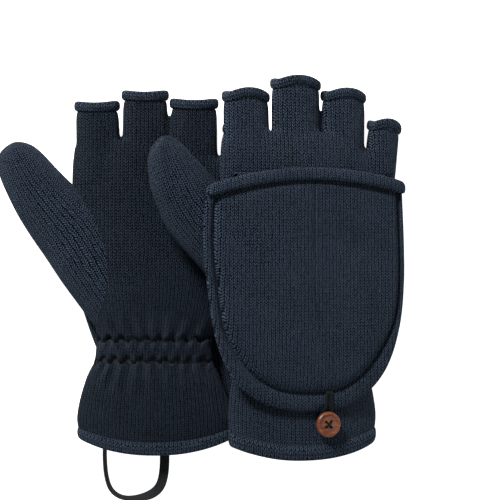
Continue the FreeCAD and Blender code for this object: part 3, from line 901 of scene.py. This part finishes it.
def button(glove):
    mid = button_frame(glove)
    profile = [(0.0, 0.0), (6.4, 0.0), (7.2, 0.35), (7.6, 1.0), (7.65, 1.8), (7.5, 2.6), (7.05, 3.2)]
    profile += [(6.5, 3.4), (5.95, 3.28), (5.5, 2.95), (4.9, 2.72), (3.5, 2.6), (1.8, 2.55), (0.0, 2.52)]
    sides = 72
    verts = []
    for r, z in profile[1:-1]:
        for j in range(sides):
            a = 2 * math.pi * j / sides
            verts.append((mid[0] + r * math.cos(a), mid[1] + r * math.sin(a), mid[2] - BUTTON_T / 2 + z))
    faces = capped_faces(len(profile) - 2, sides)
    obj = outward(new_mesh(glove.hand + "_button_turned", glove.place(verts), faces))
    holes = []
    for sx in (-1, 1):
        for sy in (-1, 1):
            x, y = mid[0] + sx * HOLE_AT, mid[1] + sy * HOLE_AT
            ends = glove.place([(x, y, mid[2] - 4), (x, y, mid[2]), (x, y, mid[2] + 4)])
            holes.append(tube_mesh("hole", ends, HOLE_R * MM, 20))
    cutter = join("holes", holes)
    bore = obj.modifiers.new("holes", "BOOLEAN")
    bore.operation = "DIFFERENCE"
    bore.object = cutter
    bore.solver = "EXACT"
    apply_modifiers(obj)
    bpy.data.objects.remove(cutter, do_unlink=True)
    bevel = obj.modifiers.new("worn edges", "BEVEL")
    bevel.width = 0.12 * MM
    bevel.segments = 2
    bevel.angle_limit = math.radians(40)
    apply_modifiers(obj)
    shade_smooth(obj.data)
    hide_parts(glove.hand + "_button")
    return obj


def button_thread(glove):
    """A crossed stitch through the four holes, and the wound shank below."""
    mid = button_frame(glove)
    top = mid[2] - BUTTON_T / 2 + 2.55
    tubes = []
    for k, (sx, sy) in enumerate(((1, 1), (1, -1))):
        for off in (-0.34, 0.0, 0.34):
            pts = []
            for t in np.linspace(-1, 1, 17):
                rise = 0.62 * (1 - abs(t) ** 2.5) + 0.16 * k
                dip = -1.9 * smooth((abs(t) - 0.86) / 0.2)
                x = sx * HOLE_AT * t * 1.02 - sy * off * 0.7
                y = sy * HOLE_AT * t * 1.02 + sx * off * 0.7
                pts.append((mid[0] + x, mid[1] + y, top + rise + dip))
            tubes.append(tube_mesh("strand", glove.place(pts), 0.24 * MM, 8))
    for turn in range(5):
        pts = []
        for a in np.linspace(0, 2 * math.pi, 25):
            r = 2.3 + 0.12 * math.sin(5 * a + turn)
            pts.append((mid[0] + r * math.cos(a), mid[1] + r * math.sin(a), mid[2] - 2.0 - 0.46 * turn))
        tubes.append(tube_mesh("wrap", glove.place(pts), 0.3 * MM, 8))
    core = [(mid[0], mid[1], mid[2] - 1.6 - s) for s in (0.0, 1.2, 2.6)]
    tubes.append(tube_mesh("core", glove.place(core), 2.1 * MM, 20))
    obj = join(glove.hand + "_button_stitch", tubes)
    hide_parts(glove.hand + "_button_thread")
    return obj


# ----------------------------------------------------------------- cords
CORD_D = 2.0
RIGHT_LOOP = [
    (8.9, -126.5, 17.6),
    (8.9, -136.7, 16.6),
    (6.6, -138.4, 13.2),
    (5.2, -148.0, 13.2),
    (10.0, -154.6, 13.2),
    (14.8, -148.0, 13.2),
    (13.4, -138.4, 13.2),
    (11.1, -136.7, 16.6),
    (11.1, -126.5, 17.6),
]
LEFT_LOOP = [
    (7.45, -134.62, 13.25),
    (3.54, -143.62, 13.25),
    (5.48, -151.62, 13.25),
    (14.52, -151.62, 13.25),
    (16.46, -143.62, 13.25),
    (12.55, -134.62, 13.25),
]
TAPE = [
    (-31.0, -155.5, 0.0),
    (-31.6, -175.9, 0.0),
    (-23.0, -189.0, 0.0),
    (-1.6, -187.0, 0.0),
    (6.0, -175.2, 0.0),
    (5.2, -157.5, 0.0),
]
TAPE_W = 6.0
TAPE_T = 1.2


def nurbs(name, points):
    curve = bpy.data.curves.new(name, "CURVE")
    curve.dimensions = "3D"
    spline = curve.splines.new("NURBS")
    spline.points.add(len(points) - 1)
    for at, p in zip(spline.points, points):
        at.co = (*p, 1.0)
    spline.order_u = 3
    spline.use_endpoint_u = True
    curve.resolution_u = 16
    obj = bpy.data.objects.new(name, curve)
    bpy.context.scene.collection.objects.link(obj)
    return obj


def route_path(name, points):
    """Points read along a route's spline."""
    guide = nurbs(name, points)
    deps = bpy.context.evaluated_depsgraph_get()
    line = bpy.data.meshes.new_from_object(guide.evaluated_get(deps))
    path = np.array([v.co[:] for v in line.vertices])
    bpy.data.objects.remove(guide, do_unlink=True)
    return path


def cap_loop(glove, route, skew):
    path = route_path(glove.hand + "_loop_route", glove.place(route, skew))
    obj = tube_mesh(glove.hand + "_elastic_loop", path, CORD_D / 2 * MM)
    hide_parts(glove.hand + "_cap_loop")
    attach(obj, glove.hand + "_cap")
    return obj


def hanging_tape():
    """A flat ribbed tape whose right leg turns its face up."""
    path = route_path("tape_route", LEFT.place(TAPE))
    n = len(path)
    ahead = np.gradient(path, axis=0)
    ahead /= np.linalg.norm(ahead, axis=1)[:, None]
    ribs = 9
    verts, uv = [], []
    run = np.concatenate([[0], np.cumsum(np.linalg.norm(np.diff(path, axis=0), axis=1))]) / MM
    for i in range(n):
        share = run[i] / run[-1]
        turn = math.radians(12 + 66 * smooth((share - 0.42) / 0.34))
        side = np.cross(ahead[i], (0, 0, 1))
        side /= np.linalg.norm(side)
        wide = np.array([0, 0, 1]) * math.cos(turn) + side * math.sin(turn)
        thin = np.cross(ahead[i], wide)
        ring = []
        for face in (1, -1):
            for k in range(ribs * 4 + 1):
                s = -1 + 2 * k / (ribs * 4)
                s *= face
                rib = 0.5 + 0.5 * math.cos(k / 4 * 2 * math.pi)
                edge = math.sqrt(max(1 - abs(s) ** 8, 0))
                ring.append((s * TAPE_W / 2, face * (TAPE_T / 2 - 0.16 * rib) * (0.35 + 0.65 * edge)))
        for a, b in ring:
            verts.append(path[i] + (wide * a + thin * b) * MM)
            uv.append((a, run[i]))
    count = (ribs * 4 + 1) * 2
    faces = capped_faces(n, count)
    obj = outward(new_mesh("hanging_tape", verts, faces, uv))
    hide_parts("left_hanging_loop")
    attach(obj, "hanging_loop")
    return obj


# ------------------------------------------------------------- materials
class Nodes:
    """Short forms for building a node tree."""

    def __init__(self, name):
        self.mat = bpy.data.materials.new(name)
        self.mat.use_nodes = True
        self.tree = self.mat.node_tree
        self.tree.nodes.clear()
        self.out = self.tree.nodes.new("ShaderNodeOutputMaterial")
        self.shader = self.tree.nodes.new("ShaderNodeBsdfPrincipled")
        self.link(self.shader.outputs[0], self.out.inputs[0])

    def link(self, a, b):
        self.tree.links.new(a, b)

    def feed(self, socket, value):
        if isinstance(value, (int, float)):
            socket.default_value = value
        else:
            self.link(value, socket)

    def math(self, kind, a, b=0.0, c=None):
        node = self.tree.nodes.new("ShaderNodeMath")
        node.operation = kind
        self.feed(node.inputs[0], a)
        self.feed(node.inputs[1], b)
        if c is not None:
            self.feed(node.inputs[2], c)
        return node.outputs[0]

    def split(self, vector):
        node = self.tree.nodes.new("ShaderNodeSeparateXYZ")
        self.link(vector, node.inputs[0])
        return node.outputs

    def uv(self):
        node = self.tree.nodes.new("ShaderNodeUVMap")
        node.uv_map = "knit"
        return node.outputs[0]

    def place(self):
        return self.tree.nodes.new("ShaderNodeTexCoord").outputs["Object"]

    def noise(self, vector, scale, detail=3.0, rough=0.55):
        node = self.tree.nodes.new("ShaderNodeTexNoise")
        node.inputs["Scale"].default_value = scale
        node.inputs["Detail"].default_value = detail
        node.inputs["Roughness"].default_value = rough
        self.link(vector, node.inputs["Vector"])
        return node.outputs[0]

    def stretch(self, vector, scale):
        node = self.tree.nodes.new("ShaderNodeMapping")
        node.inputs["Scale"].default_value = scale
        self.link(vector, node.inputs["Vector"])
        return node.outputs[0]

    def ramp(self, value, stops):
        node = self.tree.nodes.new("ShaderNodeValToRGB")
        ramp = node.color_ramp
        while len(ramp.elements) < len(stops):
            ramp.elements.new(0.5)
        for element, (pos, color) in zip(ramp.elements, stops):
            element.position = pos
            element.color = (*color, 1)
        self.feed(node.inputs[0], value)
        return node.outputs[0]

    def bump(self, height, strength, distance):
        node = self.tree.nodes.new("ShaderNodeBump")
        node.inputs["Strength"].default_value = strength
        node.inputs["Distance"].default_value = distance
        self.link(height, node.inputs["Height"])
        self.link(node.outputs[0], self.shader.inputs["Normal"])

    def set(self, **values):
        for key, value in values.items():
            self.shader.inputs[key.replace("_", " ")].default_value = value


def knit(name, dark, mid, light, lean=2.0):
    """Stocking stitch: columns of slanted legs, marled, with loose fibres. The colour is painted darker
    in the gaps between loops and lighter on their crests: painted shade and painted highlight.
    """
    m = Nodes(name)
    uv = m.uv()
    where = m.place()
    drift = m.math("MULTIPLY", m.math("SUBTRACT", m.noise(where, 210.0, 2.0), 0.5), 0.7)
    u, v, _ = m.split(uv)
    u = m.math("ADD", u, drift)
    away = m.math("ABSOLUTE", m.math("SUBTRACT", m.math("FRACT", u), 0.5))
    edge = m.math("POWER", m.math("MULTIPLY", away, 2.0), 4.0)
    side = m.math("SUBTRACT", 1.0, m.math("MULTIPLY", edge, 0.7))
    middle = m.math("MULTIPLY_ADD", m.math("MINIMUM", m.math("MULTIPLY", away, 7.0), 1.0), 0.35, 0.65)
    leg = m.math("MULTIPLY", side, middle)
    row = m.math("FRACT", m.math("ADD", m.math("SUBTRACT", v, m.math("MULTIPLY", away, lean)), drift))
    loop = m.math("POWER", m.math("SINE", m.math("MULTIPLY", row, math.pi)), 0.7)
    fibre = m.noise(where, 2600.0, 2.0, 0.7)
    marl = m.noise(where, 620.0, 3.0, 0.65)
    patch = m.noise(where, 55.0, 2.0, 0.5)
    height = m.math("MULTIPLY", leg, m.math("MULTIPLY_ADD", loop, 0.8, 0.2))
    # The stitch height colours the knit as well as raising its bump. The dark stop falls in the gaps
    # between loops and along the column edges, a painted shade. The light stop falls on the loop crests,
    # a painted highlight. The marl, fibre and patch noise are the yarn's own tone.
    tone = m.math("MULTIPLY_ADD", height, 0.80, m.math("MULTIPLY", m.math("SUBTRACT", marl, 0.5), 0.60))
    tone = m.math("ADD", tone, m.math("MULTIPLY", m.math("SUBTRACT", fibre, 0.5), 0.30))
    tone = m.math("ADD", tone, m.math("MULTIPLY", m.math("SUBTRACT", patch, 0.5), 0.18))
    m.link(m.ramp(tone, [(0.24, dark), (0.45, mid), (0.66, light)]), m.shader.inputs["Base Color"])
    rise = m.math("ADD", height, m.math("MULTIPLY", fibre, 0.3))
    m.bump(rise, 1.0, 0.0016)
    m.set(Roughness=0.95, Specular_IOR_Level=0.04)
    m.set(Sheen_Weight=0.05, Sheen_Roughness=0.3, Sheen_Tint=(0.62, 0.74, 0.9, 1))
    return m.mat


def wood():
    m = Nodes("button_wood")
    where = m.place()
    rings = m.noise(m.stretch(where, (130.0, 700.0, 300.0)), 1.0, 4.0, 0.6)
    pores = m.noise(m.stretch(where, (420.0, 3600.0, 1200.0)), 1.0, 2.0, 0.6)
    tone = m.math("ADD", m.math("MULTIPLY", rings, 0.75), m.math("MULTIPLY", pores, 0.25))
    grain = [(0.30, (0.034, 0.008, 0.003)), (0.5, (0.14, 0.034, 0.010)), (0.72, (0.30, 0.092, 0.028))]
    m.link(m.ramp(tone, grain), m.shader.inputs["Base Color"])
    m.bump(tone, 0.25, 0.0002)
    m.set(Roughness=0.38, Specular_IOR_Level=0.5, Coat_Weight=0.12, Coat_Roughness=0.25)
    return m.mat


def yarn(name, color, ribs, across):
    """Spun thread, braided cord or ribbed tape: fine twists along the piece."""
    m = Nodes(name)
    where = m.place()
    grain = m.noise(m.stretch(where, ribs), 1.0, 2.0, 0.6)
    fuzz = m.noise(where, 2400.0, 2.0, 0.6)
    tone = m.math("ADD", m.math("MULTIPLY", grain, 0.7), m.math("MULTIPLY", fuzz, 0.3))
    low = tuple(c * 0.35 for c in color)
    high = tuple(c * 1.9 for c in color)
    m.link(m.ramp(tone, [(0.3, low), (0.5, color), (0.75, high)]), m.shader.inputs["Base Color"])
    m.bump(tone, 0.5, across)
    m.set(Roughness=0.85, Specular_IOR_Level=0.15, Sheen_Weight=0.06, Sheen_Roughness=0.5)
    return m.mat


def tape_weave():
    m = Nodes("woven_tape")
    _, v, _ = m.split(m.uv())
    weft = m.math("SINE", m.math("MULTIPLY", v, 2 * math.pi * STITCH_H / 0.55))
    fuzz = m.noise(m.place(), 1900.0, 2.0, 0.6)
    tone = m.math("MULTIPLY_ADD", weft, 0.13, fuzz)
    yarns = [(0.3, (0.0015, 0.002, 0.0025)), (0.5, (0.006, 0.007, 0.008)), (0.8, (0.022, 0.024, 0.027))]
    m.link(m.ramp(tone, yarns), m.shader.inputs["Base Color"])
    m.bump(tone, 0.5, 0.00025)
    m.set(Roughness=0.7, Specular_IOR_Level=0.2, Sheen_Weight=0.06, Sheen_Roughness=0.4)
    return m.mat


# Knit colour stops. The dark one is painted shade in the stitch gaps plus the darker marl. The middle one
# is the yarn's own navy. The light one is painted highlight on the loop crests plus the paler marl.
NAVY_GAP_SHADE_AND_DARK_MARL = (0.0002, 0.0009, 0.0020)
NAVY_MID = (0.0066, 0.0112, 0.0190)
NAVY_CREST_HIGHLIGHT_AND_PALE_MARL = (0.052, 0.073, 0.110)


# Scales a colour. Below, it makes darker and lighter copies of one knit: painted shade and painted light.
def shade(color, by):
    return tuple(c * by for c in color)


MATERIALS = {
    "knit_back": knit("knit_back", NAVY_GAP_SHADE_AND_DARK_MARL, NAVY_MID, NAVY_CREST_HIGHLIGHT_AND_PALE_MARL),
    # The same yarn as knit_back made darker, a painted shade over the left glove, which lies palm up.
    "knit_palm": knit("knit_palm", shade(NAVY_GAP_SHADE_AND_DARK_MARL, 0.5), shade(NAVY_MID, 0.46), shade(NAVY_CREST_HIGHLIGHT_AND_PALE_MARL, 0.54)),
    # The same yarn as knit_back made lighter, painted light on the raised hems, welt, knuckle strap and
    # cap hem.
    "knit_hem": knit("knit_hem", NAVY_GAP_SHADE_AND_DARK_MARL, shade(NAVY_MID, 1.1), shade(NAVY_CREST_HIGHLIGHT_AND_PALE_MARL, 1.15)),
    "button_wood": wood(),
    "elastic_cord": yarn("elastic_cord", (0.0035, 0.0045, 0.006), (900, 900, 900), 0.0003),
    "elastic_band": yarn("elastic_band", (0.015, 0.016, 0.019), (500, 2500, 500), 0.0003),
    "sewing_thread": yarn("sewing_thread", (0.004, 0.004, 0.005), (1600, 1600, 1600), 0.0002),
    "woven_tape": tape_weave(),
}


def dress(obj, slot):
    obj.data.materials.clear()
    obj.data.materials.append(MATERIALS[slot])
    for poly in obj.data.polygons:
        poly.material_index = 0


def fit(obj, body, slot):
    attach(obj, body)
    dress(obj, slot)


# -------------------------------------------------------------- the pair
# heights in the glove's frame at the cap's mouth and at the knuckle strap; build_glove places points at
# them but does not use those points
MOUTH_BLEND = (15.2, 18.8)
STRAP_BLEND = (11.2, 13.0)


def build_glove(glove):
    hand = glove.hand
    own = hand + "_glove"
    # The left glove's hand takes the darker copy of the knit, a painted shade.
    skin = "knit_palm" if hand == "left" else "knit_back"
    body = hand_knit(glove)
    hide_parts(hand + "_back_panel", hand + "_palm_panel")
    fit(body, own, skin)
    fit(thumb_knit(glove), own, "knit_back")
    for finger in FINGERS[hand]:
        fit(finger_hem(glove, finger), own, "knit_hem")
    fit(cuff_hem(glove), own, "knit_hem")
    fit(knuckle_welt(glove), own, "knit_hem")
    fit(button(glove), own, "button_wood")
    fit(button_thread(glove), own, "sewing_thread")
    fit(cap_back(glove), hand + "_cap", "knit_back")
    for piece in (cap_palm(glove), cap_hem(glove)):
        start = glove.place([(0, 0, MOUTH_BLEND[0])])[0]
        end = glove.place([(0, 0, MOUTH_BLEND[1])])[0]
        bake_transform(piece)
        slot = "knit_hem" if "hem" in piece.name else "knit_back"
        dress(piece, slot)
    strap = knuckle_strap(glove)
    start = glove.place([(0, 0, STRAP_BLEND[0])])[0]
    end = glove.place([(0, 0, STRAP_BLEND[1])])[0]
    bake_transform(strap)
    dress(strap, "knit_hem")
    dress(bpy.data.objects[hand + "_wrist_elastic"], "elastic_band")


dress(cap_loop(RIGHT, RIGHT_LOOP, False), "elastic_cord")
dress(cap_loop(LEFT, LEFT_LOOP, True), "elastic_cord")
dress(hanging_tape(), "woven_tape")
build_glove(LEFT)
build_glove(RIGHT)


# ------------------------------------------------- floor, light, camera
FLOOR_GAP = 0.0002
FLOOR_GLOW = 0.95
WORLD_LIGHT = 0.24


def floor():
    bm = bmesh.new()
    bmesh.ops.create_grid(bm, x_segments=1, y_segments=1, size=4.0)
    mesh = bpy.data.meshes.new("floor")
    bm.to_mesh(mesh)
    bm.free()
    obj = bpy.data.objects.new("floor", mesh)
    bpy.context.scene.collection.objects.link(obj)
    obj.location.z = -FLOOR_GAP
    m = Nodes("pale_floor")
    m.set(Base_Color=(0.93, 0.93, 0.93, 1), Roughness=0.9, Specular_IOR_Level=0.1)
    m.set(Emission_Color=(1, 1, 1, 1), Emission_Strength=FLOOR_GLOW)
    mesh.materials.append(m.mat)


def area(name, at, target, size, power):
    light = bpy.data.lights.new(name, "AREA")
    light.shape = "SQUARE"
    light.size = size
    light.energy = power
    obj = bpy.data.objects.new(name, light)
    bpy.context.scene.collection.objects.link(obj)
    obj.location = at
    obj.rotation_euler = (Vector(target) - Vector(at)).to_track_quat("-Z", "Y").to_euler()


floor()
world = bpy.data.worlds.new("studio")
bpy.context.scene.world = world
world.use_nodes = True
world.node_tree.nodes["Background"].inputs[0].default_value = (1, 1, 1, 1)
world.node_tree.nodes["Background"].inputs[1].default_value = WORLD_LIGHT
area("key", (-0.42, 0.86, 0.80), (0, 0, 0.02), 0.26, 22.0)
area("fill", (0.5, -0.4, 1.0), (0, 0, 0.02), 0.8, 2.0)

CAMERA_H = 0.9
VIEW_W = 0.300
FOCUS_H = 0.035
SENSOR_W = 36.0
VIEW_MIDDLE = (57.3, -37.0, 0)
camera = bpy.data.cameras.new("camera")
camera.sensor_width = SENSOR_W
camera.lens = SENSOR_W * (CAMERA_H - FOCUS_H) / VIEW_W
view = bpy.data.objects.new("camera", camera)
bpy.context.scene.collection.objects.link(view)
middle = LEFT.place([VIEW_MIDDLE])[0]
view.location = (middle[0], middle[1], CAMERA_H)
bpy.context.scene.camera = view
bpy.context.scene.view_settings.view_transform = "Standard"

bpy.context.view_layer.update()
